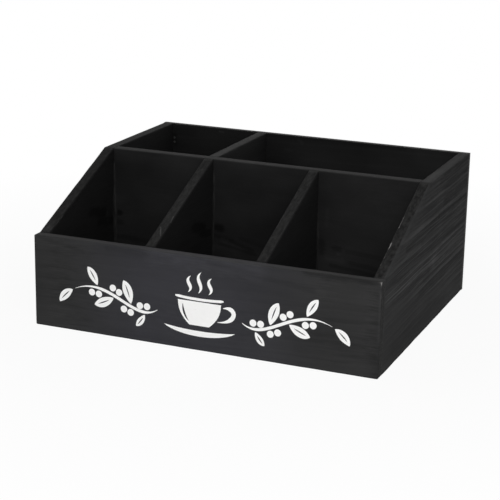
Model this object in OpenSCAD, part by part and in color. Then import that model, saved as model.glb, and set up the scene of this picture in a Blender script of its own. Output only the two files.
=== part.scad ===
// Countertop organizer for a coffee station: a low wooden box with a cut-away front, three open bays
// under sloping dividers and two deep bays behind a cross divider. Nine boards, butt jointed, glued
// and fixed with gun brads and narrow staples, then stained black.
// Frame: origin at the middle of the base, +X right, +Y back, +Z up, millimetres.

/* [Box] */
// Outside width, left to right
box_w = 300; // [240:5:400]
// Outside depth, front to back
box_d = 250; // [200:5:320]
// Height of the back and of the level part of the sides
box_h = 127; // [110:1:180]
// Height of the front panel, where the slopes begin
front_h = 78; // [60:1:95]
// Front face of the box to the front face of the cross divider
cross_at = 124; // [100:1:140]
// Front divider that the rear divider lines up with, counted from the left
rear_line = 1; // [1:1:2]

/* [Boards] */
// Thickness of the front, the sides and the cross divider
board_t = 9.5; // [8:0.5:15]
// Thickness of the short dividers
divider_t = 9; // [8:0.5:12]
// Thickness of the plywood back and bottom
ply_t = 5; // [4:0.5:8]
// Radius sanded on the edges of the boards
arris_r = 0.8; // [0.3:0.1:1.5]
// Radius left on the edges of the plywood
ply_arris_r = 0.4; // [0.2:0.1:1]

/* [Fasteners] */
// Length of a brad
brad_l = 25; // [20:1:30]
// Depth that a brad's head is set below the surface
brad_set = 0.6; // [0.3:0.1:1]
// Length of a staple's legs
staple_l = 16; // [12:1:20]
// Width of a staple's crown
staple_w = 5.2; // [4:0.1:6]
// Depth that a staple's crown is set below the surface
staple_set = 0.3; // [0.1:0.1:0.6]

/* [Hidden] */

stain = [0.13, 0.13, 0.14];
stained_ply = [0.1, 0.1, 0.11];
bright_steel = [0.72, 0.73, 0.75];

// Wire of a brad, its T head and its chisel point
brad_wire = [1.25, 1.0];
brad_head = [2.1, 0.9];
brad_point = 2.2;
// Wire of a staple, and the point on its legs
staple_wire = [1.1, 0.6];
staple_point = 1.4;

arris_steps = 3;
past_face = 1;
front_bays = 3;

front_y = -box_d / 2;
back_y = box_d / 2;
front_in_y = front_y + board_t;
back_in_y = back_y - ply_t;
cross_y = front_y + cross_at;
cross_back_y = cross_y + board_t;
cross_mid_y = cross_y + board_t / 2;
side_x = box_w / 2;
side_in_x = side_x - board_t;
side_mid_x = side_x - board_t / 2;
// The bottom lies in a rabbet half as deep as the sides are thick
rabbet_x = side_mid_x;
bay_w = (2 * side_in_x - (front_bays - 1) * divider_t) / front_bays;

function divider_x(n) = -side_in_x + n * (bay_w + divider_t) - divider_t / 2;
rear_x = divider_x(rear_line);

// Places of the fasteners, as shares of the height, width or depth that they run along
front_rows = [0.2, 0.5, 0.82];
divider_rows = [0.28, 0.75];
wall_rows = [0.2, 0.52, 0.84];
back_rows = [0.14, 0.38, 0.62, 0.88];
bottom_rows = [-0.38, -0.14, 0.12, 0.36];
divider_shares = [0.3, 0.7];

// A flat board: an outline given its thickness along +Z, with every edge rounded over by sanding
module board(outline, thickness, radius) {
    hull()
        for (step = [0 : arris_steps]) {
            turn = 90 * step / arris_steps;
            drop = radius * (1 - cos(turn));
            translate([0, 0, drop])
                linear_extrude(thickness - 2 * drop)
                    offset(delta = -radius * (1 - sin(turn)))
                        polygon(outline);
        }
}

function rectangle(low, high) = [low, [high[0], low[1]], high, [low[0], high[1]]];

// Stands a board up to face the front, its outline in X and Z, its front face at y
module facing_front(y, thickness)
    translate([0, y + thickness, 0])
        rotate([90, 0, 0])
            children();

// Stands a board up to face the right, its outline in Y and Z, its left face at x
module facing_right(x)
    translate([x, 0, 0])
        rotate([90, 0, 90])
            children();

// The sunk mark that the driver's blade leaves over a head or crown, open to the face of the board
module blade_mark(size, depth)
    translate([-size[0] / 2, -size[1] / 2, -depth])
        cube([size[0], size[1], depth + past_face]);

// A brad driven down through the plane z = 0, or the hole that it makes
module brad(hole = false) {
    top = -brad_set;
    neck = top - brad_head[1];
    tip = top - brad_l;
    half_head = brad_head[0] / 2;
    half_wire = brad_wire[0] / 2;
    rotate([90, 0, 0])
        linear_extrude(brad_wire[1], center = true)
            polygon([
                [-half_head, top], [-half_head, neck], [-half_wire, neck],
                [-half_wire, tip + brad_point], [0, tip], [half_wire, tip + brad_point],
                [half_wire, neck], [half_head, neck], [half_head, top]
            ]);
    if (hole) blade_mark([brad_head[0], brad_wire[1]], brad_set);
}

// A staple driven down through the plane z = 0 with its crown along X, or the hole that it makes
module staple(hole = false) {
    top = -staple_set;
    crown = top - staple_wire[1];
    tip = top - staple_l;
    leg_out = staple_w / 2;
    leg_in = leg_out - staple_wire[1];
    rotate([90, 0, 0])
        linear_extrude(staple_wire[0], center = true)
            polygon([
                [-leg_out, top], [-leg_out, tip], [-leg_in, tip + staple_point], [-leg_in, crown],
                [leg_in, crown], [leg_in, tip + staple_point], [leg_out, tip], [leg_out, top]
            ]);
    if (hole) blade_mark([staple_w, staple_wire[0]], staple_set);
}

// Ways that a fastener is driven in. The first three set its head or crown upright.
module from_front(x, y, z) translate([x, y, z]) rotate([90, 90, 0]) children();
module from_back(x, y, z) translate([x, y, z]) rotate([-90, 90, 0]) children();
module from_side(side, y, z) translate([side * side_x, y, z]) rotate([0, side * 90, 0]) children();
module from_below(x, y, turn = 0) translate([x, y, 0]) rotate([180, 0, turn]) children();

// Brads through the front panel into the front ends of the sides
module front_panel_brads(hole = false)
    for (side = [-1, 1], row = front_rows)
        from_front(side * side_mid_x, front_y, row * front_h) brad(hole);

// Brads through the front panel into the front ends of the front dividers
module front_divider_brads(hole = false)
    for (n = [1 : front_bays - 1], row = divider_rows)
        from_front(divider_x(n), front_y, row * front_h) brad(hole);

// Brads through a side into the end of the cross divider
module side_brads(side, hole = false)
    for (row = wall_rows)
        from_side(side, cross_mid_y, row * box_h) brad(hole);

// Brads through the cross divider into the rear ends of the front dividers
module cross_divider_brads(hole = false)
    for (n = [1 : front_bays - 1], row = wall_rows)
        from_back(divider_x(n), cross_back_y, row * box_h) brad(hole);

// Staples through the back into the ends of the sides and of the rear divider, and into the bottom
module back_panel_staples(hole = false) {
    for (side = [-1, 1], row = back_rows)
        from_back(side * side_mid_x, back_y, row * box_h) staple(hole);
    for (row = wall_rows)
        from_back(rear_x, back_y, row * box_h) staple(hole);
    for (row = bottom_rows)
        translate([row * box_w, back_y, ply_t / 2])
            rotate([-90, 0, 0])
                staple(hole);
}

// Staples up through the bottom into the sides and into every divider
module bottom_panel_staples(hole = false) {
    for (side = [-1, 1], row = bottom_rows)
        from_below(side * (side_in_x + rabbet_x) / 2, row * box_d, 90) staple(hole);
    for (row = bottom_rows)
        from_below(row * box_w, cross_mid_y) staple(hole);
    for (n = [1 : front_bays - 1], share = divider_shares)
        from_below(divider_x(n), front_in_y + share * (cross_y - front_in_y), 90) staple(hole);
    for (share = divider_shares)
        from_below(rear_x, cross_back_y + share * (back_in_y - cross_back_y), 90) staple(hole);
}

// Front panel: covers the front ends of the sides, so its own ends show beside them
module front_panel()
    color(stain)
        difference() {
            facing_front(front_y, board_t)
                board(rectangle([-side_x, 0], [side_x, front_h]), board_t, arris_r);
            front_panel_brads(hole = true);
            front_divider_brads(hole = true);
        }

// Side: level behind the cross divider, then sloping down to the top of the front panel.
// A rabbet along its lower inner edge takes the bottom.
module side_board(side)
    color(stain)
        difference() {
            facing_right(side > 0 ? side_in_x : -side_x)
                board([
                    [front_in_y, 0], [back_in_y, 0], [back_in_y, box_h],
                    [cross_y, box_h], [front_in_y, front_h]
                ], board_t, arris_r);
            mirror([side > 0 ? 0 : 1, 0, 0])
                translate([side_in_x - past_face, front_y, -past_face])
                    cube([rabbet_x - side_in_x + past_face, box_d, ply_t + past_face]);
            front_panel_brads(hole = true);
            side_brads(side, hole = true);
            back_panel_staples(hole = true);
            bottom_panel_staples(hole = true);
        }

// Back: plywood over the back ends of the sides, full width and height
module back_panel()
    color(stained_ply)
        difference() {
            facing_front(back_in_y, ply_t)
                board(rectangle([-side_x, 0], [side_x, box_h]), ply_t, ply_arris_r);
            back_panel_staples(hole = true);
        }

// Bottom: plywood in the rabbets of the sides, flush with the lower edges of all four walls
module bottom_panel()
    color(stained_ply)
        difference() {
            board(rectangle([-rabbet_x, front_in_y], [rabbet_x, back_in_y]), ply_t, ply_arris_r);
            back_panel_staples(hole = true);
            bottom_panel_staples(hole = true);
        }

// Cross divider: from side to side on the bottom, at the head of the slopes
module cross_divider()
    color(stain)
        difference() {
            facing_front(cross_y, board_t)
                board(rectangle([-side_in_x, ply_t], [side_in_x, box_h]), board_t, arris_r);
            side_brads(-1, hole = true);
            side_brads(1, hole = true);
            cross_divider_brads(hole = true);
            bottom_panel_staples(hole = true);
        }

// Front divider n from the left: sloping top, from the front panel back to the cross divider
module front_divider(n)
    color(stain)
        difference() {
            facing_right(divider_x(n) - divider_t / 2)
                board([
                    [front_in_y, ply_t], [cross_y, ply_t], [cross_y, box_h], [front_in_y, front_h]
                ], divider_t, arris_r);
            front_divider_brads(hole = true);
            cross_divider_brads(hole = true);
            bottom_panel_staples(hole = true);
        }

// Rear divider: level top, from the cross divider back to the plywood
module rear_divider()
    color(stain)
        difference() {
            facing_right(rear_x - divider_t / 2)
                board(rectangle([cross_back_y, ply_t], [back_in_y, box_h]), divider_t, arris_r);
            back_panel_staples(hole = true);
            bottom_panel_staples(hole = true);
        }

front_panel();
side_board(-1);  // left_side
side_board(1);  // right_side
back_panel();
bottom_panel();
cross_divider();
front_divider(1);  // front_divider_left
front_divider(2);  // front_divider_right
rear_divider();
color(bright_steel) front_panel_brads();
color(bright_steel) front_divider_brads();
color(bright_steel) side_brads(-1);  // left_side_brads
color(bright_steel) side_brads(1);  // right_side_brads
color(bright_steel) cross_divider_brads();
color(bright_steel) back_panel_staples();
color(bright_steel) bottom_panel_staples();
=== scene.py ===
import math

import bmesh
import bpy
from mathutils import Matrix, Quaternion, Vector, noise
from mathutils.geometry import interpolate_bezier, intersect_point_line


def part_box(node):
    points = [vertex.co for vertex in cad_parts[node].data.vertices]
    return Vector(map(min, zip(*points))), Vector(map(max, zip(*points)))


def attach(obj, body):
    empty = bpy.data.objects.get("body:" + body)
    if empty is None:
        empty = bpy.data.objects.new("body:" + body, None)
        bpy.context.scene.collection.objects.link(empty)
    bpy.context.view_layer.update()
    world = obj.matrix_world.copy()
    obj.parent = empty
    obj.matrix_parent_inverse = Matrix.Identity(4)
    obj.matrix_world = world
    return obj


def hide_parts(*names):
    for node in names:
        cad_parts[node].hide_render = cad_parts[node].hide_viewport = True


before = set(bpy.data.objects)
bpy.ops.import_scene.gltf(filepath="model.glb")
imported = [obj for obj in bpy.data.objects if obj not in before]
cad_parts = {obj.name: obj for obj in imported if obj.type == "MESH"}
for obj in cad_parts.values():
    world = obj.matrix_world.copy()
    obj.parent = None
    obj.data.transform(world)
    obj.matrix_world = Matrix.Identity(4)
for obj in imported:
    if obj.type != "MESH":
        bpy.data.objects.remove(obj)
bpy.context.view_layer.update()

MM = 0.001


# Side boards: two pieces of 9.5 mm softwood, level at the back and cut to a slope in front of the
# cross divider. They were glued and nailed up first, sanded by hand along the edges that show, and
# stained black, so the long grain still reads as faint streaks and the slopes as rough end grain.

front_low, front_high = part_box("front_panel")
cross_low, cross_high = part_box("cross_divider")
slope_foot = Vector((0, front_high.y, front_high.z))
slope_head = Vector((0, cross_low.y, cross_high.z))
slope_normal = (slope_head - slope_foot).cross(Vector((-1, 0, 0))).normalized()


def put(tree, kind, inputs=None, **settings):
    """Adds a shader node, sets its properties, and links or fills its inputs."""
    made = tree.nodes.new("ShaderNode" + kind)
    for name, value in settings.items():
        setattr(made, name, value)
    for key, value in (inputs or {}).items():
        if isinstance(value, bpy.types.NodeSocket):
            tree.links.new(value, made.inputs[key])
        else:
            made.inputs[key].default_value = value
    return made


def maths(tree, operation, first, second=0.0, third=0.0):
    return put(tree, "Math", {0: first, 1: second, 2: third}, operation=operation).outputs[0]


def vectors(tree, operation, first, second=(0, 0, 0)):
    return put(tree, "VectorMath", {0: first, 1: second}, operation=operation).outputs[0]


def blend_colours(tree, factor, first, second, blend="MIX"):
    mixed = put(tree, "Mix", data_type="RGBA", blend_type=blend)
    for socket, value in ((0, factor), (6, first), (7, second)):
        if isinstance(value, bpy.types.NodeSocket):
            tree.links.new(value, mixed.inputs[socket])
        else:
            mixed.inputs[socket].default_value = value
    return mixed.outputs[2]


def shader_group(name, takes, gives):
    """A node group with named sockets. Returns its tree, its inputs and its output node."""
    tree = bpy.data.node_groups.new(name, "ShaderNodeTree")
    for label, kind, value in takes:
        socket = tree.interface.new_socket(label, in_out="INPUT", socket_type="NodeSocket" + kind)
        if value is not None:
            socket.default_value = value
    for label, kind in gives:
        tree.interface.new_socket(label, in_out="OUTPUT", socket_type="NodeSocket" + kind)
    return tree, tree.nodes.new("NodeGroupInput").outputs, tree.nodes.new("NodeGroupOutput")


def wood_grain_group():
    """Solid wood in the log's own space, in metres: X along the grain, Y and Z across it from the pith."""
    tree, given, out = shader_group(
        "wood grain",
        [("Vector", "Vector", None), ("Ring Width", "Float", 7.0), ("Wander", "Float", 14.0),
         ("Taper", "Float", 0.03)],
        [("Late Wood", "Float"), ("Bands", "Float"), ("Fibre", "Float"), ("Pores", "Float"),
         ("Blotch", "Float"), ("Open Grain", "Float")],
    )
    place = put(tree, "VectorMath", {0: given["Vector"], "Scale": 1000.0}, operation="SCALE").outputs[0]
    slow = put(tree, "TexNoise", {"Vector": vectors(tree, "MULTIPLY", place, (0.006, 0.021, 0.021)),
                                  "Scale": 1.0, "Detail": 3.5, "Roughness": 0.5})
    drift = put(tree, "VectorMath", {0: vectors(tree, "SUBTRACT", slow.outputs["Color"], (0.5, 0.5, 0.5)),
                                     "Scale": given["Wander"]}, operation="SCALE").outputs[0]
    bent = vectors(tree, "ADD", place, drift)
    radius = put(tree, "VectorMath", {0: vectors(tree, "MULTIPLY", bent, (0, 1, 1))}, operation="LENGTH")
    along = put(tree, "SeparateXYZ", {0: place}).outputs["X"]
    radius = maths(tree, "MULTIPLY_ADD", along, given["Taper"], radius.outputs["Value"])
    uneven = put(tree, "TexNoise", {"W": maths(tree, "MULTIPLY", radius, 0.07), "Scale": 1.0,
                                    "Detail": 2.0}, noise_dimensions="1D").outputs["Fac"]
    phase = maths(tree, "MULTIPLY_ADD", uneven, 2.4, maths(tree, "DIVIDE", radius, given["Ring Width"]))
    share = maths(tree, "FRACT", phase)
    rise = maths(tree, "POWER", share, 1.7)
    fall = put(tree, "MapRange", {"Value": share, "From Min": 0.80, "From Max": 1.0, "To Min": 1.0,
                                  "To Max": 0.0}, interpolation_type="SMOOTHSTEP").outputs[0]
    strength = put(tree, "TexNoise", {"W": maths(tree, "MULTIPLY", phase, 0.83), "Scale": 1.0,
                                      "Detail": 1.0}, noise_dimensions="1D").outputs["Fac"]
    strength = put(tree, "MapRange", {"Value": strength, "From Min": 0.3, "From Max": 0.7}).outputs[0]
    late = maths(tree, "MULTIPLY", maths(tree, "MULTIPLY", rise, fall), strength)
    fibre = put(tree, "TexNoise", {"Vector": vectors(tree, "MULTIPLY", bent, (0.022, 1.3, 1.3)),
                                   "Scale": 1.0, "Detail": 5.0, "Roughness": 0.62}).outputs["Fac"]
    bands = put(tree, "TexNoise", {"Vector": vectors(tree, "MULTIPLY", bent, (0.007, 0.26, 0.26)),
                                   "Scale": 1.0, "Detail": 2.0, "Roughness": 0.5}).outputs["Fac"]
    pores = put(tree, "TexNoise", {"Vector": vectors(tree, "MULTIPLY", bent, (0.16, 4.6, 4.6)),
                                   "Scale": 1.0, "Detail": 2.0, "Roughness": 0.5}).outputs["Fac"]
    pores = put(tree, "MapRange", {"Value": pores, "From Min": 0.58, "From Max": 0.72},
                interpolation_type="SMOOTHSTEP").outputs[0]
    blotch = put(tree, "TexNoise", {"Vector": vectors(tree, "MULTIPLY", place, (0.009, 0.016, 0.016)),
                                    "Scale": 1.0, "Detail": 3.0, "Roughness": 0.55}).outputs["Fac"]
    open_grain = put(tree, "TexNoise", {"Vector": vectors(tree, "MULTIPLY", bent, (0.09, 0.42, 0.42)),
                                        "Scale": 1.0, "Detail": 3.0, "Roughness": 0.6}).outputs["Fac"]
    for label, value in (("Late Wood", late), ("Bands", bands), ("Fibre", fibre), ("Pores", pores),
                         ("Blotch", blotch), ("Open Grain", open_grain)):
        tree.links.new(value, out.inputs[label])
    return tree


def worn_and_highlighted_edge_group():
    """Wear along the arrises, broken into patches, and bare wood where it went through the stain.
    Marks add to both, partly wear and partly painted highlights where an arris catches the light.
    """
    tree, given, out = shader_group(
        "worn and highlighted edge",
        [("From Arris", "Float", 8.0), ("Marks", "Float", 0.0), ("Vector", "Vector", None),
         ("Patch Size", "Float", 9.0), ("Wear", "Float", 0.0)],
        [("Rubbed", "Float"), ("Bare", "Float")],
    )
    place = put(tree, "VectorMath", {0: given["Vector"], "Scale": 1000.0}, operation="SCALE").outputs[0]
    patch = put(tree, "TexNoise", {"Vector": place, "Scale": maths(tree, "DIVIDE", 1.0, given["Patch Size"]),
                                   "Detail": 4.0, "Roughness": 0.6}).outputs["Fac"]
    fine = put(tree, "TexNoise", {"Vector": place, "Scale": 1.1, "Detail": 3.0}).outputs["Fac"]
    near = maths(tree, "MULTIPLY_ADD", given["Marks"], -2.2, given["From Arris"])
    near = maths(tree, "MULTIPLY_ADD", given["Wear"], -1.2, maths(tree, "ADD", near, 2.4))
    near = maths(tree, "MULTIPLY_ADD", patch, -2.4, near)
    rubbed = put(tree, "MapRange", {"Value": near, "From Min": 0.2, "From Max": 1.2, "To Min": 1.0,
                                    "To Max": 0.0}, interpolation_type="SMOOTHSTEP").outputs[0]
    through = maths(tree, "MULTIPLY_ADD", fine, 1.4, maths(tree, "ADD", near, -0.25))
    bare = put(tree, "MapRange", {"Value": through, "From Min": 0.15, "From Max": 0.75, "To Min": 1.0,
                                  "To Max": 0.0}, interpolation_type="SMOOTHSTEP").outputs[0]
    tree.links.new(rubbed, out.inputs["Rubbed"])
    tree.links.new(bare, out.inputs["Bare"])
    return tree


wood_grain = wood_grain_group()
worn_and_highlighted_edge = worn_and_highlighted_edge_group()

STAIN_DEEP = (0.0042, 0.0042, 0.0043, 1)
STAIN_THIN = (0.0148, 0.0148, 0.0149, 1)
STAIN_COOL = (0.0088, 0.0088, 0.0112, 1)
CUT_FILLED = (0.0040, 0.0040, 0.0040, 1)
CUT_RUBBED = (0.0200, 0.0198, 0.0196, 1)
TOP_STAIN_AND_PAINTED_LIGHT = (0.0300, 0.0297, 0.0294, 1)
RUBBED_STAIN = (0.055, 0.054, 0.053, 1)
BARE_EDGE_AND_HIGHLIGHT = (0.24, 0.235, 0.23, 1)


def spots_on(tree, colour, place, ragged, spots):
    """Darkens colour round lines from start to end, in millimetres, or lightens it where dark is below 0."""
    for start, end, radius, dark in spots:
        first, run = Vector(start) * MM, (Vector(end) - Vector(start)) * MM
        from_first = vectors(tree, "SUBTRACT", place, first)
        share = put(tree, "VectorMath", {0: from_first, 1: run / max(run.length_squared, 1e-9)},
                    operation="DOT_PRODUCT").outputs["Value"]
        nearest = put(tree, "VectorMath", {0: run, "Scale": put(tree, "Clamp", {"Value": share}).outputs[0]},
                      operation="SCALE").outputs[0]
        away = put(tree, "VectorMath", {0: vectors(tree, "SUBTRACT", from_first, nearest)},
                   operation="LENGTH").outputs["Value"]
        away = maths(tree, "MULTIPLY_ADD", ragged, 0.9, maths(tree, "DIVIDE", away, radius * MM))
        inside = put(tree, "MapRange", {"Value": away, "From Min": 0.2 if dark > 0 else -0.3,
                                        "From Max": 1.0, "To Min": 1 - dark, "To Max": 1.0},
                     interpolation_type="SMOOTHSTEP").outputs[0]
        colour = put(tree, "VectorMath", {0: colour, "Scale": inside}, operation="SCALE").outputs[0]
    return colour


def stained_board_with_painted_light(name, turn, pith, ring=7.0, wander=14.0, taper=0.03, figure=0.35, streaks=0.5,
                  clouds=0.8, cool=(), lift=1.0, wear=0.0, cut_lift=1.0, gloss=0.1, calm=(),
                  spots=()):
    """Black stain on one board. turn and pith lay the board into its log, pith in millimetres.

    cool is (amount, middle, reach) of a bluer zone along X. The two lift factors are painted light:
    the first scales the whole stain paler or darker for how much light the board's faces in view get,
    and the second scales the stain on end grain the same way. calm has lines as (height, rise
    along the board, reach, least): the figure grows from least on the line to its full strength at reach
    above it. spots are as spots_on takes them; some of them are painted light and shade.
    """
    material = bpy.data.materials.new(name)
    material.use_nodes = True
    tree = material.node_tree
    shader = tree.nodes["Principled BSDF"]
    place = put(tree, "TexCoord").outputs["Object"]
    in_room = put(tree, "SeparateXYZ", {0: place}).outputs
    in_log = put(tree, "Mapping", {"Vector": place, "Rotation": (0, 0, turn),
                                   "Location": tuple(MM * value for value in pith)}).outputs[0]
    grain = put(tree, "Group", node_tree=wood_grain)
    for label, value in (("Ring Width", ring), ("Wander", wander), ("Taper", taper)):
        grain.inputs[label].default_value = value
    tree.links.new(in_log, grain.inputs["Vector"])
    late, bands, fibre, pores, blotch, open_grain = (
        grain.outputs[label] for label in ("Late Wood", "Bands", "Fibre", "Pores", "Blotch", "Open Grain"))

    swing = maths(tree, "MULTIPLY_ADD", late, figure, -0.2 * figure - 0.5 * figure - 0.8 * streaks)
    swing = maths(tree, "MULTIPLY_ADD", bands, figure, swing)
    swing = maths(tree, "MULTIPLY_ADD", fibre, 1.6 * streaks, swing)
    lively = 1.0
    for line, rise, reach, least in calm:
        above = maths(tree, "MULTIPLY_ADD", in_room["Y"], -rise, in_room["Z"])
        fade = put(tree, "MapRange", {"Value": above, "From Min": line * MM, "From Max": (line + reach) * MM,
                                      "To Min": least, "To Max": 1.0}, interpolation_type="SMOOTHSTEP")
        lively = maths(tree, "MULTIPLY", fade.outputs[0], lively)
    swing = maths(tree, "MULTIPLY", swing, lively)
    tone = maths(tree, "MULTIPLY_ADD", blotch, 1.8 * clouds, maths(tree, "ADD", swing, 0.5 - 0.9 * clouds))
    tone = maths(tree, "MULTIPLY_ADD", pores, -0.12, tone)
    tone = put(tree, "Clamp", {"Value": tone}).outputs[0]
    # Painted light: the stain is scaled paler or darker by the lift factor, for how much light this board's faces in
    # view get.
    deep, thin, tint = (tuple(lift * part for part in stain[:3]) + (1,)
                        for stain in (STAIN_DEEP, STAIN_THIN, STAIN_COOL))
    colour = blend_colours(tree, tone, deep, thin)
    if cool:
        amount, middle, reach = cool
        off_middle = maths(tree, "ABSOLUTE", maths(tree, "SUBTRACT", in_room["X"], middle * MM))
        cooler = put(tree, "MapRange", {"Value": off_middle, "From Min": reach * MM, "From Max": 0.3 * reach * MM,
                                        "To Min": 0.0, "To Max": amount}, interpolation_type="SMOOTHSTEP")
        cooler = maths(tree, "MULTIPLY", cooler.outputs[0], maths(tree, "MULTIPLY_ADD", blotch, 1.2, 0.4))
        colour = blend_colours(tree, cooler, colour, tint)

    patchy = put(tree, "MapRange", {"Value": maths(tree, "MULTIPLY_ADD", fibre, 0.35, open_grain),
                                    "From Min": 0.42, "From Max": 0.94},
                 interpolation_type="SMOOTHSTEP").outputs[0]
    # The end-grain stain is scaled by its own lift factor, as painted light too.
    filled, rubbed = (tuple(cut_lift * part for part in stain[:3]) + (1,) for stain in (CUT_FILLED, CUT_RUBBED))
    cut = put(tree, "Attribute", attribute_name="cut").outputs["Fac"]
    colour = blend_colours(tree, cut, colour, blend_colours(tree, patchy, filled, rubbed))
    # Upward faces at each board's top take a paler tone: partly a thinner stain on the sanded tops, partly painted
    # light from above.
    on_top = put(tree, "Attribute", attribute_name="top").outputs["Fac"]
    colour = blend_colours(tree, on_top, colour, blend_colours(tree, bands, TOP_STAIN_AND_PAINTED_LIGHT, colour))
    ragged = maths(tree, "SUBTRACT", maths(tree, "ADD", fibre, open_grain), 1.0)
    colour = spots_on(tree, colour, place, ragged, spots)
    worn = put(tree, "Group", node_tree=worn_and_highlighted_edge)
    tree.links.new(put(tree, "Attribute", attribute_name="from_arris").outputs["Fac"],
                   worn.inputs["From Arris"])
    tree.links.new(put(tree, "Attribute", attribute_name="marks").outputs["Fac"], worn.inputs["Marks"])
    tree.links.new(place, worn.inputs["Vector"])
    worn.inputs["Wear"].default_value = wear
    # Paler arrises: wear, and where marks add to it, partly painted highlights.
    colour = blend_colours(tree, maths(tree, "MULTIPLY", worn.outputs["Rubbed"], 0.6), colour, RUBBED_STAIN)
    colour = blend_colours(tree, worn.outputs["Bare"], colour, BARE_EDGE_AND_HIGHLIGHT)
    tree.links.new(colour, shader.inputs["Base Color"])

    sheen = maths(tree, "MULTIPLY_ADD", late, -0.08 * figure, maths(tree, "MULTIPLY", fibre, -0.25 * streaks))
    sheen = maths(tree, "ADD", sheen, 0.80 + 0.13 * streaks)
    tree.links.new(sheen, shader.inputs["Roughness"])
    height = maths(tree, "MULTIPLY_ADD", late, 0.3 * figure, maths(tree, "MULTIPLY", fibre, 0.5))
    height = maths(tree, "MULTIPLY", maths(tree, "MULTIPLY_ADD", pores, -0.3, height), lively)
    height = maths(tree, "MULTIPLY_ADD", maths(tree, "MULTIPLY", open_grain, cut), 1.2, height)
    relief = put(tree, "Bump", {"Height": height, "Strength": 0.5, "Distance": 0.14 * MM}).outputs[0]
    tree.links.new(relief, shader.inputs["Normal"])
    shader.inputs["Specular IOR Level"].default_value = gloss
    return material


ARRIS = 0.95 * MM
SOFT_ARRIS = 3.0 * MM
GLUED = 0.16 * MM
GRID = 4.0 * MM
SHARP = math.radians(50)


def spread(low, high, step):
    """Even places from low to high, close to step apart, with both ends."""
    count = max(1, round((high - low) / step))
    return [low + (high - low) * k / count for k in range(count + 1)]


def slice_board(bm, places, normal, start=Vector()):
    for place in places:
        bmesh.ops.bisect_plane(bm, geom=bm.verts[:] + bm.edges[:] + bm.faces[:], dist=1e-7,
                               plane_co=start + normal * place, plane_no=normal)


def sharp_edges(bm, arrises):
    """Each corner edge with the radius that arrises(middle, run) gives it."""
    found = []
    for edge in bm.edges:
        if len(edge.link_faces) == 2 and edge.calc_face_angle(0) > SHARP:
            first, second = (v.co.copy() for v in edge.verts)
            found.append((edge, arrises((first + second) / 2, (second - first).normalized()), first, second))
    return found


def bevel_edges(bm, edges, offset, segments):
    bmesh.ops.bevel(bm, geom=edges, offset=offset, offset_type="OFFSET", segments=segments, profile=0.5,
                    affect="EDGES", clamp_overlap=True, material=-1)


def cut_rabbet(bm, wall, roof):
    """Takes the lower corner on the bay's side of the line at x = wall, z = roof out of a side board."""
    slice_board(bm, [wall], X)
    slice_board(bm, [roof], Z)
    middles = {face: face.calc_center_median() for face in bm.faces}
    waste = [face for face, middle in middles.items() if middle.z < roof - GLUED / 2
             and abs(middle.x) < abs(wall) - GLUED / 2]
    bmesh.ops.delete(bm, geom=waste, context="FACES")
    rim = {vert for edge in bm.edges if edge.is_boundary for vert in edge.verts}
    rim = sorted(rim, key=lambda vert: (vert.co.y > 0, round(vert.co.z, 5), -abs(vert.co.x)))
    for k in (0, 1):
        bm.faces.new((rim[k], rim[k + 3], rim[k + 4], rim[k + 1]))


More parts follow.
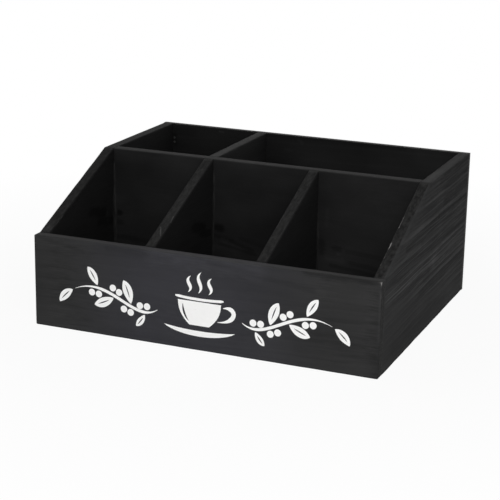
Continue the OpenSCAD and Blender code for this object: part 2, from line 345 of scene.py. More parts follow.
def saw_board(name, outline, stand, low, high, arrises, material, cuts, marks=(), sawn=None, rabbet=None):
    """One board from its outline, as (along, up) points, given its thickness from low to high.

    stand(along, depth, up) puts a point in the room. arrises(middle, run) gives the radius that an
    edge was sanded to, or 0 where it is glued. cuts are (places, normal) slices that carry the
    relief. marks are (centre, radius, amount) of extra wear, partly painted highlights on the arrises.
    sawn is the normal of a face left from the saw, and rabbet is as cut_rabbet takes it.
    """
    bm = bmesh.new()
    face = bm.faces.new([bm.verts.new(stand(along, low, up)) for along, up in outline])
    grown = bmesh.ops.extrude_face_region(bm, geom=[face])["geom"]
    shift = stand(0, high, 0) - stand(0, low, 0)
    bmesh.ops.translate(bm, verts=[v for v in grown if isinstance(v, bmesh.types.BMVert)], vec=shift)
    if rabbet:
        cut_rabbet(bm, *rabbet)
    bmesh.ops.recalc_face_normals(bm, faces=bm.faces[:])
    planes = [(f.calc_center_median(), f.normal.copy()) for f in bm.faces]

    rounded = [(first, second, radius) for _, radius, first, second in sharp_edges(bm, arrises) if radius]
    for radius in sorted({radius for _, _, radius in rounded}, reverse=True):
        bevel_edges(bm, [edge for edge, size, _, _ in sharp_edges(bm, arrises) if size == radius], radius, 4)
    bevel_edges(bm, [edge for edge, size, _, _ in sharp_edges(bm, arrises) if not size], GLUED, 1)
    for places, normal in cuts:
        slice_board(bm, places, normal)
    for centre, normal in planes:
        slice_board(bm, [-(ARRIS + 0.5 * MM), -(ARRIS + 1.4 * MM)], normal, centre)

    from_arris, marked, cut, top = (bm.verts.layers.float.new(label)
                                    for label in ("from_arris", "marks", "cut", "top"))
    bm.normal_update()
    highest = max(vert.co.z for vert in bm.verts)
    moves = {}
    for vert in bm.verts:
        far = FAR_FROM_ARRIS
        for first, second, radius in rounded:
            share = min(1.0, max(0.0, intersect_point_line(vert.co, first, second)[1]))
            far = min(far, (vert.co - first.lerp(second, share)).length / radius)
        vert[from_arris] = far
        vert[marked] = min(1.0, sum(amount * max(0.0, 1 - (vert.co - centre).length / radius)
                                    for centre, radius, amount in marks))
        vert[cut] = 0.0
        # top marks the upward faces at the board's top, for a paler tone that is partly painted light from above.
        vert[top] = min(1.0, max(0.0, 2 * vert.normal.z - 0.6)) if vert.co.z > highest - ARRIS else 0.0
        on_arris = max(0.0, 1 - far)
        sink = 0.035 * noise.noise(vert.co * 22) + 0.015 * noise.noise(vert.co * 90)
        sink -= on_arris * (0.35 * max(0.0, noise.noise(vert.co * 55) + 0.25) + 0.6 * vert[marked])
        if sawn is not None and vert.normal.dot(sawn) > 0.96:
            vert[cut] = 1.0
            rough = Vector((vert.co.x * 110, vert.co.y * 900, vert.co.z * 380))
            sink += 0.06 * noise.noise(rough) + 0.09 * noise.noise(vert.co * 260)
        moves[vert] = vert.normal * (sink * MM)
    for vert, move in moves.items():
        vert.co += move
        vert.co.z = max(vert.co.z, 0.0)

    mesh = bpy.data.meshes.new(name)
    bm.to_mesh(mesh)
    bm.free()
    mesh.polygons.foreach_set("use_smooth", [True] * len(mesh.polygons))
    mesh.set_sharp_from_angle(angle=math.radians(32))
    mesh.materials.append(material)
    board = bpy.data.objects.new(name, mesh)
    bpy.context.scene.collection.objects.link(board)
    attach(board, "root")
    return board


FAR_FROM_ARRIS = 8.0


def facing_right(along, depth, up):
    return Vector((depth, along, up))


def facing_front(along, depth, up):
    return Vector((along, depth, up))


X, Y, Z = Vector((1, 0, 0)), Vector((0, 1, 0)), Vector((0, 0, 1))
QUARTER = math.pi / 2


def under_slope(y):
    share = (y - slope_foot.y) / (slope_head.y - slope_foot.y)
    return slope_foot.z + share * (slope_head.z - slope_foot.z)


def on_slope(x, y):
    return Vector((x, y, under_slope(y)))


def worn_and_highlighted_run(x, first, last, amount):
    """Pale marks in a row along the arris of a slope at x, from y first to y last: partly wear,
    partly painted highlights where the arris catches the light.
    """
    return [(on_slope(x, y), 6 * MM, amount) for y in spread(first, last, 4 * MM)]


def side_board(name, node, pith, marks, outer_arris, **figure):
    low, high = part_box(node)
    outer = low.x if low.x < 0 else high.x
    outline = [(low.y, 0), (high.y, 0), (high.y, high.z), (slope_head.y, high.z), (low.y, slope_foot.z)]

    def arrises(middle, run):
        on_top = middle.z > slope_foot.z + MM and abs(run.x) < 0.5 and middle.y < high.y - MM
        outside = abs(middle.x - outer) < MM
        if on_top and outside and abs(run.z) > 0.2:
            return outer_arris
        return ARRIS if on_top or (middle.z < MM and outside and abs(run.y) > 0.5) else 0

    board = saw_board(
        name, outline, facing_right, low.x, high.x, arrises,
        stained_board_with_painted_light(name.replace("_", " "), -QUARTER, pith, **figure),
        [(spread(low.y + GRID, slope_head.y, 1.1 * MM), Y), (spread(slope_head.y + GRID, high.y, GRID), Y),
         (spread(GRID, high.z, GRID), Z), (spread(low.x + 2 * MM, high.x - 2 * MM, 1.4 * MM), X)],
        marks, slope_normal, (math.copysign(bottom_edge.x, outer), bottom_edge.z))
    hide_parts(node)
    return board


bottom_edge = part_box("bottom_panel")[1]
inner_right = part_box("right_side")[0].x
# The left side's low lift is painted shade: its face in view is the inner one, in the shade of the left bay.
left_side_board = side_board(
    "left_side_board", "left_side", (31, 60, -64), outer_arris=ARRIS, ring=6.0, figure=0.2, clouds=0.6,
    lift=0.55, wear=0.1,
    spots=[((-145, 5, 127), (-145, 120, 127), 10, 0.38), ((-145, -95, 88), (-145, -6, 126), 8, 0.34), ((-140.5, -44, 79), (-140.5, -20, 73), 7, 0.75),
           ((-140.5, -30, 66), (-140.5, -5, 62), 6, 0.65),
           ((-140.5, -15.1, 70.8), (-140.5, -15, 70.8), 3.5, -2.2),
           ((-140.5, -14.3, 63.6), (-140.5, -14.2, 63.6), 4.0, -2.0),
           ((-145, -113, 79), (-145, -107, 81.5), 8, -0.8)],
    marks=worn_and_highlighted_run(-inner_right, -0.104, -0.094, 0.4))
# The right side's high lifts with low gloss are painted sheen: the reflection that the gloss no longer gives is put
# into a paler stain on its face and on its end grain.
right_side_board = side_board(
    "right_side_board", "right_side", (0, 170, -330), outer_arris=SOFT_ARRIS, ring=5.5, wander=6.0,
    taper=0.0, figure=1.5, streaks=1.4, clouds=0.35, lift=2.62, wear=0.05, cut_lift=1.4, gloss=0.05,
    calm=[(27, -0.18, 18, 0.1), (127.4, 0.428, -24, 0.2)],
    # Among these spots, the pale line along the top rim is painted light from above, and the pale band down the outer
    # slope edge is painted light over the shade of the soft arris there.
    spots=[((150, -80, 8), (150, 50, 2), 24, 0.24), ((150, -105, 59), (150, 20, 56), 18, -0.5),
           ((150, 20, 57), (150, 112, 52), 20, -0.7), ((150, 135, 112), (150, 60, 118), 34, 0.28),
           ((150, 125, 122), (150, 30, 122), 5.0, 0.3), ((144.5, 5, 127), (144.5, 120, 127), 6.0, -0.62),
           ((150, -112, 79), (150, -4, 125), 5.0, -0.4), ((150, -62, 92), (150, 25, 114), 18, -0.22), ((150, -50, 66), (150, 80, 66), 7, -0.25), ((150, -95, 46), (150, 60, 46), 11, -0.14),
           ((150, 125, 103.5), (150, 45, 102), 5.0, 0.45), ((150, 125, 90), (150, 30, 92), 4.2, 0.58),
           ((150, 30, 92), (150, -62, 87), 4.0, 0.45), ((150, 125, 79), (150, -20, 81), 3.6, 0.38),
           ((150, 120, 67.5), (150, 10, 68), 3.2, 0.3), ((150, 118, 56), (150, 20, 56.5), 2.4, 0.25),
           ((150, 116, 45), (150, -10, 46), 2.6, 0.3), ((150, 112, 36), (150, -20, 38), 2.6, 0.3)],
    # Pale marks on the inner slope arris, partly wear and partly painted highlights.
    marks=(worn_and_highlighted_run(inner_right, -0.057, -0.044, 0.62) + worn_and_highlighted_run(inner_right, -0.082, -0.076, 0.7)
           + worn_and_highlighted_run(inner_right, -0.102, -0.088, 0.56)))


# Cross divider: one board between the sides at the head of the slopes, standing on the bottom. It
# was nailed to the front dividers from behind before the box was closed. Its face keeps a few
# cathedral lines low down and darker spots where the stain soaked in beside the dividers.

def cross_arrises(middle, run):
    return ARRIS if middle.z > cross_high.z - MM and abs(run.x) > 0.5 else 0


cross_board = saw_board(
    "cross_divider_board",
    [(cross_low.x, cross_low.z), (cross_high.x, cross_low.z), (cross_high.x, cross_high.z),
     (cross_low.x, cross_high.z)],
    facing_front, cross_low.y, cross_high.y, cross_arrises,
    stained_board_with_painted_light("cross divider stain and painted light", 0.0, (120, 22, -16), ring=5.2, wander=16.0, taper=0.05,
                  figure=0.10, streaks=0.14, clouds=1.3, lift=1.04, wear=0.15,
                  # Among these spots, the paler band along the top and the paler top right of the right bay are painted
                  # light falling into the bays from above, and the darker low and left parts of the left bay are
                  # painted shade.
                  spots=[((-139, -1, 69), (-135, -1, 68), 4.5, 0.8), ((-138, -1, 60), (-134, -1, 59), 4, 0.45),
                         ((-140, -1, 46), (-108, -1, 45), 4, 0.4), ((-130, -1, 124), (135, -1, 124), 18, -0.16),
                         ((-98, -1, 116), (-68, -1, 118), 15, -0.18), ((-130, -1, 60), (-80, -1, 55), 24, 0.15),
                         ((-140, -1, 100), (-128, -1, 84), 24, 0.2), ((114, -1, 114), (138, -1, 102), 25, -0.4),
                         ((-38, -1, 50), (-22, -1, 46), 11, -0.35),
                         ((-43, -1, 67), (-36, -1, 66), 5, 0.8), ((-42, -1, 59), (-38, -1, 58), 3, 0.4),
                         ((-34, -1, 58.5), (-24, -1, 56.5), 2.0, 0.25),
                         ((-27, -1, 55.7), (-6, -1, 49.5), 2.4, 0.38), ((-38, -1, 52), (-4, -1, 46.5), 2.4, 0.34),
                         ((-18, -1, 59.5), (4, -1, 53.5), 2.6, 0.25), ((-36, -1, 55), (-14, -1, 49), 2.2, -0.35),
                         ((-10, -1, 112), (24, -1, 110), 13, -0.15), ((6, -1, 101), (26, -1, 99), 6, -0.15),
                         ((57, -1, 66), (57.5, -1, 58), 5, 0.4), ((69, -1, 61.5), (73, -1, 61), 4.2, 0.35),
                         ((72, -1, 57), (73, -1, 57), 2.6, -0.5), ((62, -1, 52), (76, -1, 50.5), 4.5, -0.3),
                         ((61.5, -1, 94), (61, -1, 80), 3.5, -0.3), ((80, -1, 60), (125, -1, 56), 3, 0.2),
                         ((84, -1, 50), (128, -1, 45), 3, 0.25), ((66, -1, 46), (112, -1, 41.5), 2.6, 0.3)]),
    [(spread(cross_low.x + GRID, cross_high.x, GRID), X), (spread(cross_low.z + GRID, cross_high.z, GRID), Z),
     (spread(cross_low.y + 2 * MM, cross_high.y - 2 * MM, 1.4 * MM), Y)])
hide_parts("cross_divider")


# Front dividers: two thinner boards from the front panel back to the cross divider, cut to the same
# slope as the sides in one pass of the saw. Stapled from below and nailed at both ends.

def front_divider_board(node, pith, lift, marks, spots):
    low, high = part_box(node)
    outline = [(low.y, low.z), (high.y, low.z), (high.y, high.z), (low.y, slope_foot.z)]

    def arrises(middle, run):
        return ARRIS if abs(run.y) > 0.5 and middle.z > slope_foot.z + MM else 0

    board = saw_board(
        node + "_board", outline, facing_right, low.x, high.x, arrises,
        stained_board_with_painted_light(node.replace("_", " ") + " stain", -QUARTER, pith, ring=5.5, figure=0.2, streaks=0.4,
                      clouds=0.7, lift=lift, spots=spots),
        [(spread(low.y + GRID, high.y, 1.1 * MM), Y), (spread(low.z + GRID, high.z, GRID), Z),
         (spread(low.x + 2 * MM, high.x - 2 * MM, 1.4 * MM), X)],
        marks, slope_normal)
    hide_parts(node)
    return board


left_divider_low, left_divider_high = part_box("front_divider_left")
# 0.62 here and 0.78 for the right divider scale the stain darker as painted shade: the faces in view look into the
# bays.
front_divider_board("front_divider_left", (77, 24, -150), 0.62, [],
                    [((-43.7, -40, 76), (-43.7, -20, 70), 7, 0.75), ((-43.7, -26, 66), (-43.7, -8, 63), 5, 0.6),
                     ((-50.4, -91.6, 88.2), (-45.4, -101.8, 83.9), 0.8, -5.0),
                     ((-48, -12, 122), (-48, -5, 125.5), 5, 0.3),
                     ((-45.6, -77.5, 94.3), (-44.6, -85, 91), 0.8, -4.0)])
right_divider_low, right_divider_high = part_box("front_divider_right")
front_divider_board("front_divider_right", (-15, -31, -132), 0.78,
                    worn_and_highlighted_run(right_divider_low.x, -0.074, -0.060, 0.6),
                    [((43.7, -10, 117), (52, -3, 125), 3.5, 0.3)])


# Rear divider: a level board in line with the left front divider, dropped in between the cross
# divider and the back once those stood, and stapled from behind and below.

rear_low, rear_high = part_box("rear_divider")


def rear_arrises(middle, run):
    return ARRIS if abs(run.y) > 0.5 and middle.z > rear_high.z - MM else 0


rear_board = saw_board(
    "rear_divider_board",
    [(rear_low.y, rear_low.z), (rear_high.y, rear_low.z), (rear_high.y, rear_high.z),
     (rear_low.y, rear_high.z)],
    facing_right, rear_low.x, rear_high.x, rear_arrises,
    stained_board_with_painted_light("rear divider stain and painted light", -QUARTER, (10, 70, -30), ring=6.0, figure=0.25, wear=0.15,
                  # This paler line along the top is painted light from above.
                  spots=[((-48, 10, 129), (-48, 120, 129), 9, -0.25)]),
    [(spread(rear_low.y + GRID, rear_high.y, GRID), Y), (spread(rear_low.z + GRID, rear_high.z, GRID), Z),
     (spread(rear_low.x + 2 * MM, rear_high.x - 2 * MM, 1.4 * MM), X)])
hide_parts("rear_divider")


# Front panel: the full-width board that closes the bays in front. Planed along the top, lapped over
# the front ends of the sides, nailed, filled and stained, and knocked about a little at the corner,
# where its pale marks are partly that wear and partly a painted highlight on the rounded corner.

def front_arrises(middle, run):
    outside = middle.y < front_low.y + MM
    on_top = middle.z > front_high.z - MM
    return ARRIS if outside or on_top or (middle.z < MM and abs(run.y) > 0.5) else 0


front_corner = Vector((front_high.x, front_low.y, front_high.z))
front_board = saw_board(
    "front_panel_board",
    [(front_low.x, 0), (front_high.x, 0), (front_high.x, front_high.z), (front_low.x, front_high.z)],
    facing_front, front_low.y, front_high.y, front_arrises,
    # The front's high lift is painted light: its face takes the most light, from the lamps and from the table in front.
    stained_board_with_painted_light("front panel stain and painted light", 0.0, (60, 158, -105), ring=7.0, wander=15.0, taper=0.03,
                  figure=-0.26, streaks=0.14, clouds=0.6, cool=(0.5, -8, 125), lift=3.1, cut_lift=1.3,
                  # Among these spots, the paler middle, bottom and top edge and the darker ends are painted light and
                  # shade, the bottom standing for light thrown up from the table, and the pale line down the right end
                  # is a painted highlight on the rounded edge.
                  spots=[((-165, -125, 0), (-165, -125, 78), 75, 0.22), ((-112, -125, 62), (-105, -125, 22), 30, 0.12),
                         ((158, -125, 0), (158, -125, 60), 24, 0.3), ((128, -125, 66), (122, -125, 38), 40, 0.20),
                         ((-42, -125, 76), (50, -125, 74), 13, -0.46), ((-146, -120, 78), (146, -120, 78), 4.4, -0.42),
                         ((150, -125, 70), (150, -125, 32), 3, -0.4),
                         ((-50, -125, 8), (60, -125, 8), 26, -0.2), ((-45, -125, 48), (20, -125, 44), 42, -0.26),
                         ((-145, -125, 77), (-104, -125, 69), 3.5, 0.16), ((-82, -125, 75), (-25, -125, 73), 3.5, 0.12),
                         ((8, -125, 75), (95, -125, 64), 4.0, 0.14), ((90, -125, 79), (146, -125, 79), 6, 0.35)]),
    [(spread(front_low.x + GRID, front_high.x, GRID), X), (spread(GRID, front_high.z, 2 * MM), Z),
     (spread(front_low.y + 2 * MM, front_high.y - 2 * MM, 1.4 * MM), Y)],
    # The pale marks at the top right corner are partly a knock and partly a painted highlight on the rounded corner.
    [(front_corner, 0.006, 0.9), (front_corner - 0.010 * Z, 0.014, 0.55)], X)
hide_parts("front_panel")


# Back and bottom: 5 mm plywood, three plies, stained with the rest. The back is lapped over the ends
# of the sides and the bottom let in between the walls; staples hold both, their crowns punched in.

def stained_ply(name, through, pith, spots=()):
    """Stained plywood. through is the index of the axis across its thickness."""
    material = bpy.data.materials.new(name)
    material.use_nodes = True
    tree = material.node_tree
    shader = tree.nodes["Principled BSDF"]
    place = put(tree, "TexCoord").outputs["Object"]
    in_log = put(tree, "Mapping", {"Vector": place, "Location": tuple(MM * value for value in pith)}).outputs[0]
    grain = put(tree, "Group", node_tree=wood_grain)
    tree.links.new(in_log, grain.inputs["Vector"])
    late, fibre, blotch, open_grain = (grain.outputs[label]
                                       for label in ("Late Wood", "Fibre", "Blotch", "Open Grain"))
    tone = maths(tree, "MULTIPLY_ADD", late, 0.3, maths(tree, "MULTIPLY", fibre, 0.7))
    tone = maths(tree, "MULTIPLY_ADD", blotch, 1.8, tone)
    tone = put(tree, "MapRange", {"Value": tone, "From Min": 0.7, "From Max": 2.0}).outputs[0]
    face = blend_colours(tree, tone, PLY_DEEP, PLY_THIN)
    face = spots_on(tree, face, place, maths(tree, "SUBTRACT", fibre, 0.5), spots)
    across = put(tree, "SeparateXYZ", {0: place}).outputs[through]
    layer = maths(tree, "FRACT", maths(tree, "DIVIDE", across, PLY_PITCH))
    layer = put(tree, "MapRange", {"Value": layer, "From Min": 0.4, "From Max": 0.6},
                interpolation_type="SMOOTHSTEP").outputs[0]
    layer = maths(tree, "MULTIPLY", layer, open_grain)
    edge = blend_colours(tree, layer, PLY_EDGE, CUT_FILLED)
    facing = put(tree, "SeparateXYZ", {0: put(tree, "NewGeometry").outputs["Normal"]}).outputs[through]
    on_face = put(tree, "MapRange", {"Value": maths(tree, "ABSOLUTE", facing), "From Min": 0.5,
                                     "From Max": 0.8}).outputs[0]
    tree.links.new(blend_colours(tree, on_face, edge, face), shader.inputs["Base Color"])
    tree.links.new(maths(tree, "MULTIPLY_ADD", fibre, -0.15, 0.92), shader.inputs["Roughness"])
    height = maths(tree, "MULTIPLY_ADD", layer, -0.4, fibre)
    relief = put(tree, "Bump", {"Height": height, "Strength": 0.5, "Distance": 0.12 * MM}).outputs[0]
    tree.links.new(relief, shader.inputs["Normal"])
    shader.inputs["Specular IOR Level"].default_value = 0.1
    return material


PLY_DEEP = (0.0030, 0.0030, 0.0030, 1)
PLY_THIN = (0.0100, 0.0100, 0.0101, 1)
PLY_EDGE = (0.0900, 0.0890, 0.0880, 1)
PLY_PITCH = 3.4 * MM


def dress(node, material):
    """Gives a CAD node its own material."""
    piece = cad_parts[node]
    if not piece.material_slots:
        piece.data.materials.append(material)
    for slot in piece.material_slots:
        slot.material = material


dress("back_panel", stained_ply(
    "back plywood stain", 1, (20, -132, -240),
    [((-138.6, 120, 115), (-138.6, 120, 108), 4.5, 0.5), ((-92, 120, 123.8), (-87, 120, 123.6), 1.6, -1.2),
     ((-12, 120, 125), (-8, 120, 121), 3.0, -0.6), ((-24, 120, 113), (-19, 120, 113), 2.5, -0.4),
     ((-140, 120, 120), (-120, 120, 120), 6, 0.2), ((-43, 120, 126), (90, 120, 126), 4, 0.3),
     ((0, 120, 105), (130, 120, 105), 38, -1.3), ((105, 120, 120), (128, 120, 114), 16, -0.3)]))
dress("bottom_panel", stained_ply("bottom plywood stain", 2, (70, -260, -6)))


# Brads and staples: galvanized wire. The brads are sunk in the boards under filler; the staples'
# crowns show behind and below, where the stain ran over them and was wiped off.

def galvanized_wire():
    material = bpy.data.materials.new("galvanized wire")
    material.use_nodes = True
    tree = material.node_tree
    shader = tree.nodes["Principled BSDF"]
    place = put(tree, "VectorMath", {0: put(tree, "TexCoord").outputs["Object"], "Scale": 1000.0},
                operation="SCALE").outputs[0]
    spangle = put(tree, "TexNoise", {"Vector": place, "Scale": 1.3, "Detail": 3.0}).outputs["Fac"]
    film = put(tree, "MapRange", {"Value": spangle, "From Min": 0.42, "From Max": 0.56},
               interpolation_type="SMOOTHSTEP").outputs[0]
    tree.links.new(blend_colours(tree, film, (0.52, 0.52, 0.54, 1), (0.06, 0.06, 0.062, 1)),
                   shader.inputs["Base Color"])
    tree.links.new(maths(tree, "MULTIPLY_ADD", film, 0.35, 0.34), shader.inputs["Roughness"])
    shader.inputs["Metallic"].default_value = 1.0
    return material


wire = galvanized_wire()
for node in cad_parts:
    if node.endswith("_brads") or node.endswith("_staples"):
        dress(node, wire)


# Glue beads: what the clamps squeezed out in the upright corners in front of the cross divider,
# smoothed with a finger. Stain doesn't bite on glue, so they dry paler and glossier than the wood.

def glue_skin():
    material = bpy.data.materials.new("stained glue")
    material.use_nodes = True
    tree = material.node_tree
    shader = tree.nodes["Principled BSDF"]
    place = put(tree, "VectorMath", {0: put(tree, "TexCoord").outputs["Object"], "Scale": 1000.0},
                operation="SCALE").outputs[0]
    runs = put(tree, "TexNoise", {"Vector": vectors(tree, "MULTIPLY", place, (0.7, 0.7, 0.12)),
                                  "Scale": 1.0, "Detail": 3.0}).outputs["Fac"]
    runs = put(tree, "MapRange", {"Value": runs, "From Min": 0.36, "From Max": 0.64},
               interpolation_type="SMOOTHSTEP").outputs[0]
    tree.links.new(blend_colours(tree, runs, (0.0045, 0.0045, 0.0045, 1), (0.0115, 0.0114, 0.0112, 1)),
                   shader.inputs["Base Color"])
    tree.links.new(maths(tree, "MULTIPLY_ADD", runs, -0.15, 0.75), shader.inputs["Roughness"])
    shader.inputs["Specular IOR Level"].default_value = 0.12
    return material


stained_glue = glue_skin()
GLUE_SINK = 0.12 * MM


def glue_bead(name, corner, side, low, high, leg):
    """A hollow bead of glue up a corner. side is +1 where the bay lies to the right of it."""
    profile = [(-GLUE_SINK, -GLUE_SINK), (leg, -GLUE_SINK)]
    for k in range(6):
        angle = QUARTER * k / 5
        profile.append((leg * (1 - math.sin(angle)), leg * (1 - math.cos(angle))))
    profile.append((-GLUE_SINK, leg))
    bm = bmesh.new()
    face = bm.faces.new([bm.verts.new((corner.x + side * out, corner.y - ahead, low)) for out, ahead in profile])
    grown = bmesh.ops.extrude_face_region(bm, geom=[face])["geom"]
    bmesh.ops.translate(bm, verts=[v for v in grown if isinstance(v, bmesh.types.BMVert)],
                        vec=Vector((0, 0, high - low)))
    slice_board(bm, spread(low, high, 1.5 * MM)[1:-1], Z)
    for vert in bm.verts:
        share = (vert.co.z - low) / (high - low)
        swell = 0.75 + 0.75 * noise.noise(Vector((corner.x * 90, corner.y * 90, vert.co.z * 60)))
        swell *= min(1.0, 8 * share, 8 * (1 - share)) * 0.7 + 0.3
        axis = Vector((corner.x, corner.y, vert.co.z))
        vert.co = axis + (vert.co - axis) * swell
    bmesh.ops.recalc_face_normals(bm, faces=bm.faces[:])
    mesh = bpy.data.meshes.new(name)
    bm.to_mesh(mesh)
    bm.free()
    mesh.polygons.foreach_set("use_smooth", [True] * len(mesh.polygons))
    mesh.set_sharp_from_angle(angle=math.radians(50))
    mesh.materials.append(stained_glue)
    bead = bpy.data.objects.new(name, mesh)
    bpy.context.scene.collection.objects.link(bead)
    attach(bead, "root")


for number, (x, side, top, leg) in enumerate([
        (-inner_right, 1, 0.114, 2.4), (left_divider_low.x, -1, 0.090, 1.0),
        (left_divider_high.x, 1, 0.121, 2.0), (right_divider_low.x, -1, 0.100, 1.1),
        (right_divider_high.x, 1, 0.090, 1.8), (inner_right, -1, 0.110, 1.3)]):
    glue_bead("glue_bead_%d" % (number + 1), Vector((x, cross_low.y, 0)), side, bottom_edge.z, top, leg * MM)


# Filler: two pinholes in the back, beside its left corner, stopped with filler that stayed pale.

def filler_dot(name, height):
    bm = bmesh.new()
    bmesh.ops.create_circle(bm, cap_ends=True, radius=1.15 * MM, segments=24)
    top = bmesh.ops.extrude_face_region(bm, geom=bm.faces[:])["geom"]
    raised = [v for v in top if isinstance(v, bmesh.types.BMVert)]
    bmesh.ops.translate(bm, verts=raised, vec=Vector((0, 0, 0.35 * MM)))
    bevel_edges(bm, [e for e in bm.edges if all(v in raised for v in e.verts)], 0.15 * MM, 2)
    turn = Quaternion((1, 0, 0), QUARTER)
    middle = Vector((-inner_right + 1.9 * MM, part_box("back_panel")[0].y + 0.15 * MM, height))
    for vert in bm.verts:
        vert.co = middle + turn @ vert.co
    bmesh.ops.recalc_face_normals(bm, faces=bm.faces[:])
    mesh = bpy.data.meshes.new(name)
    bm.to_mesh(mesh)
    bm.free()
    mesh.materials.append(pale_filler)
    dot = bpy.data.objects.new(name, mesh)
    bpy.context.scene.collection.objects.link(dot)
    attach(dot, "root")


def filler_skin():
    material = bpy.data.materials.new("pale filler")
    material.use_nodes = True
    tree = material.node_tree
    shader = tree.nodes["Principled BSDF"]
    place = put(tree, "TexCoord").outputs["Object"]
    grit = put(tree, "TexNoise", {"Vector": place, "Scale": 1400.0, "Detail": 2.0}).outputs["Fac"]
    tree.links.new(blend_colours(tree, grit, (0.012, 0.012, 0.012, 1), (0.040, 0.0395, 0.039, 1)),
                   shader.inputs["Base Color"])
    shader.inputs["Roughness"].default_value = 0.85
    shader.inputs["Specular IOR Level"].default_value = 0.1
    return material


pale_filler = filler_skin()
filler_dot("filler_dot_upper", 0.1133)
filler_dot("filler_dot_lower", 0.1093)


# Print: off-white paint dabbed through a stencil on the front panel, a steaming cup between two
# sprigs of coffee. It is a generic design, cut with bridges as a stencil is, and a hair thick.

def leaf_width(share):
    return math.sin(math.pi * share) ** 0.75


def brush_width(share):
    return min(1.0, 4.5 * share + 0.12, 3.2 * (1 - share) + 0.06)


def even_width(share):
    return min(1.0, 14 * share + 0.5, 14 * (1 - share) + 0.5)


def brush(curve, start, first, second, end, width, profile, steps=16):
    """One closed shape along a cubic curve, widest as profile says. Places are (x, z) in millimetres."""
    path = interpolate_bezier(*(Vector(place) * MM for place in (start, first, second, end)), steps + 1)
    one_side, other_side = [], []
    for k, place in enumerate(path):
        run = (path[min(k + 1, steps)] - path[max(k - 1, 0)]).normalized()
        half = width * MM * profile(k / steps) / 2
        one_side.append((place.x - run.y * half, place.y + run.x * half))
        other_side.append((place.x + run.y * half, place.y - run.x * half))
    closed_shape(curve, one_side + other_side[::-1])


def closed_shape(curve, outline):
    spline = curve.splines.new("POLY")
    spline.points.add(len(outline) - 1)
    for point, (x, z) in zip(spline.points, outline):
        point.co = (x, z, 0, 1)
    spline.use_cyclic_u = True


def disc(curve, x, z, radius):
    closed_shape(curve, [((x + radius * math.cos(2 * math.pi * k / 24)) * MM,
                          (z + radius * math.sin(2 * math.pi * k / 24)) * MM) for k in range(24)])


def draw_cup(curve):
    bowl = [(-19, 41), (19, 41)]
    for k in range(9):
        fall = k / 8
        bowl.append((18.6 - 10.0 * fall ** 2.2, 40 - 19 * fall))
    bowl += [(-x, z) for x, z in reversed(bowl[2:])]
    closed_shape(curve, [(x * MM, z * MM) for x, z in bowl])
    brush(curve, (-14.5, 38.5), (-14.5, 33), (-13, 28), (-9, 23.6), 1.7, leaf_width)
    brush(curve, (-21, 44.2), (-8, 42.6), (8, 42.6), (21, 44.2), 2.2, even_width)
    brush(curve, (20.6, 38.6), (33, 42), (34, 27), (15.8, 26.4), 3.6, brush_width)
    brush(curve, (-31, 18.6), (-16, 12.8), (16, 12.8), (31, 18.6), 4.6, leaf_width)
    for x, rise in ((-9, 14), (0, 18), (9, 14)):
        brush(curve, (x - 1, 48), (x + 6, 48 + 0.4 * rise), (x - 6, 48 + 0.6 * rise), (x + 1.5, 48 + rise),
              3.0, leaf_width)


def leaf(curve, side, first, last, bend):
    """A pointed leaf from first to last, bowed a little by bend, with its rib left open."""
    path = [first, first.lerp(last, 0.33) + bend, first.lerp(last, 0.67) + bend, last]
    brush(curve, *((side * p.x, p.y) for p in path), 0.42 * (last - first).length, leaf_width)
    middle = interpolate_bezier(*path, 21)
    brush(curve, *((side * middle[k].x, middle[k].y) for k in (4, 8, 12, 16)), 1.0, leaf_width, steps=8)


def draw_sprig(curve, side):
    """A stem that runs out from the cup, with leaves and pairs of cherries on it by turns."""
    stem = [Vector(place) for place in ((37, 29), (58, 14), (80, 52), (112, 37))]
    brush(curve, *((side * p.x, p.y) for p in stem), 2.5, brush_width, steps=28)
    run = interpolate_bezier(*stem, 61)
    for number, place in enumerate((9, 21, 33, 45)):
        base = run[place]
        ahead = (run[place + 1] - run[place - 1]).normalized()
        out = Vector((-ahead.y, ahead.x)) * (1 if number % 2 else -1)
        length = (16, 23, 22, 20)[number]
        heading = (ahead * 0.66 + out * 0.75).normalized()
        leaf(curve, side, base + heading * 2.8, base + heading * length, out * 0.07 * length)
        for step, away in ((-0.6, 4.9), (5.8, 5.3)):
            spot = base + ahead * step - out * away
            disc(curve, side * spot.x, spot.y, 2.9)
    leaf(curve, side, run[60] + Vector((2.2, -1.4)), run[60] + Vector((14.5, -13.5)), Vector((1.2, 1.2)))


def stencil_paint():
    material = bpy.data.materials.new("stencil paint")
    material.use_nodes = True
    tree = material.node_tree
    shader = tree.nodes["Principled BSDF"]
    place = put(tree, "VectorMath", {0: put(tree, "TexCoord").outputs["Object"], "Scale": 1000.0},
                operation="SCALE").outputs[0]
    dabs = put(tree, "TexNoise", {"Vector": place, "Scale": 0.35, "Detail": 4.0}).outputs["Fac"]
    grain = put(tree, "TexNoise", {"Vector": vectors(tree, "MULTIPLY", place, (0.12, 1.0, 2.6)),
                                   "Scale": 1.0, "Detail": 3.0}).outputs["Fac"]
    colour = blend_colours(tree, dabs, (0.93, 0.926, 0.915, 1), (0.97, 0.968, 0.962, 1))
    missed = put(tree, "MapRange", {"Value": grain, "From Min": 0.70, "From Max": 0.80, "To Min": 0.0,
                                    "To Max": 0.55}).outputs[0]
    colour = blend_colours(tree, missed, colour, (0.2, 0.2, 0.2, 1))
    tree.links.new(colour, shader.inputs["Base Color"])
    tree.links.new(maths(tree, "MULTIPLY_ADD", dabs, 0.2, 0.55), shader.inputs["Roughness"])
    height = maths(tree, "ADD", dabs, grain)
    relief = put(tree, "Bump", {"Height": height, "Strength": 0.35, "Distance": 0.08 * MM}).outputs[0]
    tree.links.new(relief, shader.inputs["Normal"])
    shader.inputs["Specular IOR Level"].default_value = 0.3
    return material


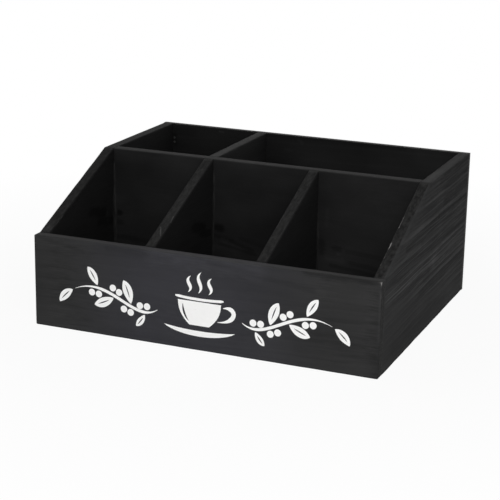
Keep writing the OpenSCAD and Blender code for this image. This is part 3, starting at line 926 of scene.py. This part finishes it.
PAINT = 0.18 * MM
PAINT_PROUD = 0.11 * MM
flat = bpy.data.curves.new("print_outline", "CURVE")
flat.dimensions = "2D"
flat.fill_mode = "BOTH"
flat.extrude = PAINT / 2
draw_cup(flat)
for side in (-1, 1):
    draw_sprig(flat, side)
drawn = bpy.data.objects.new("print_outline", flat)
bpy.context.scene.collection.objects.link(drawn)
bpy.context.view_layer.update()
printed_mesh = bpy.data.meshes.new_from_object(drawn.evaluated_get(bpy.context.evaluated_depsgraph_get()))
bpy.data.objects.remove(drawn)
bpy.data.curves.remove(flat)
printed_mesh.transform(Matrix.Translation((0, front_low.y - PAINT_PROUD + PAINT / 2, 0))
                       @ Matrix.Rotation(QUARTER, 4, "X"))
bm = bmesh.new()
bm.from_mesh(printed_mesh)
bmesh.ops.remove_doubles(bm, verts=bm.verts[:], dist=1e-7)
bm.to_mesh(printed_mesh)
bm.free()
printed_mesh.materials.clear()
printed_mesh.materials.append(stencil_paint())
stencil_print = bpy.data.objects.new("stencil_print", printed_mesh)
bpy.context.scene.collection.objects.link(stencil_print)
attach(stencil_print, "root")


# Floor, light and camera: a white table and white surroundings, a wide soft lamp above the camera,
# a weaker one low beside it and a faint one high on the left, seen from the right of the front and a
# little above.

def floor_material():
    """White to the camera and in reflections, with part of the real shading kept for the shadow."""
    material = bpy.data.materials.new("white table")
    material.use_nodes = True
    tree = material.node_tree
    shader = tree.nodes["Principled BSDF"]
    shader.inputs["Base Color"].default_value = (0.82, 0.82, 0.82, 1)
    shader.inputs["Roughness"].default_value = 0.9
    shader.inputs["Specular IOR Level"].default_value = 0.0
    rays = put(tree, "LightPath").outputs
    seen = maths(tree, "MAXIMUM", rays["Is Camera Ray"],
                 maths(tree, "MAXIMUM", rays["Is Glossy Ray"], rays["Is Transmission Ray"]))
    glow = put(tree, "Emission", {"Color": (1, 1, 1, 1), "Strength": 1.0})
    from_box = put(tree, "VectorMath", {0: put(tree, "TexCoord").outputs["Object"]},
                   operation="LENGTH").outputs["Value"]
    white = put(tree, "MapRange", {"Value": from_box, "From Min": 0.22, "From Max": 0.55,
                                   "To Min": 0.93, "To Max": 1.0}).outputs[0]
    mixed = put(tree, "MixShader", {0: maths(tree, "MULTIPLY", seen, white), 1: shader.outputs[0],
                                    2: glow.outputs[0]})
    tree.links.new(mixed.outputs[0], tree.nodes["Material Output"].inputs["Surface"])
    return material


bm = bmesh.new()
bmesh.ops.create_grid(bm, x_segments=1, y_segments=1, size=6.0)
floor_mesh = bpy.data.meshes.new("table_top")
bm.to_mesh(floor_mesh)
bm.free()
floor_mesh.materials.append(floor_material())
table_top = bpy.data.objects.new("table_top", floor_mesh)
bpy.context.scene.collection.objects.link(table_top)

world = bpy.data.worlds.new("white room")
world.use_nodes = True
bpy.context.scene.world = world
sky = world.node_tree
seen_directly = put(sky, "LightPath").outputs
plain = sky.nodes["Background"]
plain.inputs["Color"].default_value = (1, 1, 1, 1)
seen = maths(sky, "MAXIMUM", seen_directly["Is Camera Ray"],
             maths(sky, "MAXIMUM", seen_directly["Is Glossy Ray"], seen_directly["Is Transmission Ray"]))
sky.links.new(maths(sky, "MAXIMUM", seen, 0.2), plain.inputs["Strength"])


def from_front(azimuth, elevation):
    """Unit vector from the object towards a place round it, 0 degrees being straight in front."""
    round_it, above = math.radians(azimuth), math.radians(elevation)
    return Vector((math.sin(round_it) * math.cos(above), -math.cos(round_it) * math.cos(above),
                   math.sin(above)))


def soft_lamp(name, azimuth, elevation, power):
    lamp = bpy.data.lights.new(name, "AREA")
    lamp.shape, lamp.size, lamp.energy = "SQUARE", LAMP_SIZE, power
    holder = bpy.data.objects.new(name, lamp)
    holder.location = from_front(azimuth, elevation) * LAMP_AWAY
    holder.rotation_euler = (LAMP_AIM - holder.location).to_track_quat("-Z", "Y").to_euler()
    bpy.context.scene.collection.objects.link(holder)


LAMP_SIZE, LAMP_AWAY, LAMP_AIM = 1.0, 1.6, Vector((0, 0, 0.05))
soft_lamp("key_lamp", 22, 40, 12)
soft_lamp("low_lamp", 22, 15, 6)
soft_lamp("left_lamp", -75, 65, 1.6)

LENS_PIXELS, FRAME_PIXELS, SENSOR = 1483.3, 500, 36.0
CAMERA_ROLL = math.radians(0.991)
aim = Vector((-8.86, 0, 49.59)) * MM
back = from_front(22.405, 16.5)
camera_data = bpy.data.cameras.new("camera")
camera_data.sensor_width = SENSOR
camera_data.lens = SENSOR * LENS_PIXELS / FRAME_PIXELS
camera = bpy.data.objects.new("camera", camera_data)
camera.location = aim + back * 1287.84 * MM
camera.rotation_mode = "QUATERNION"
camera.rotation_quaternion = (-back).to_track_quat("-Z", "Y") @ Quaternion((0, 0, 1), CAMERA_ROLL)
bpy.context.scene.collection.objects.link(camera)
bpy.context.scene.camera = camera
bpy.context.scene.view_settings.view_transform = "Standard"
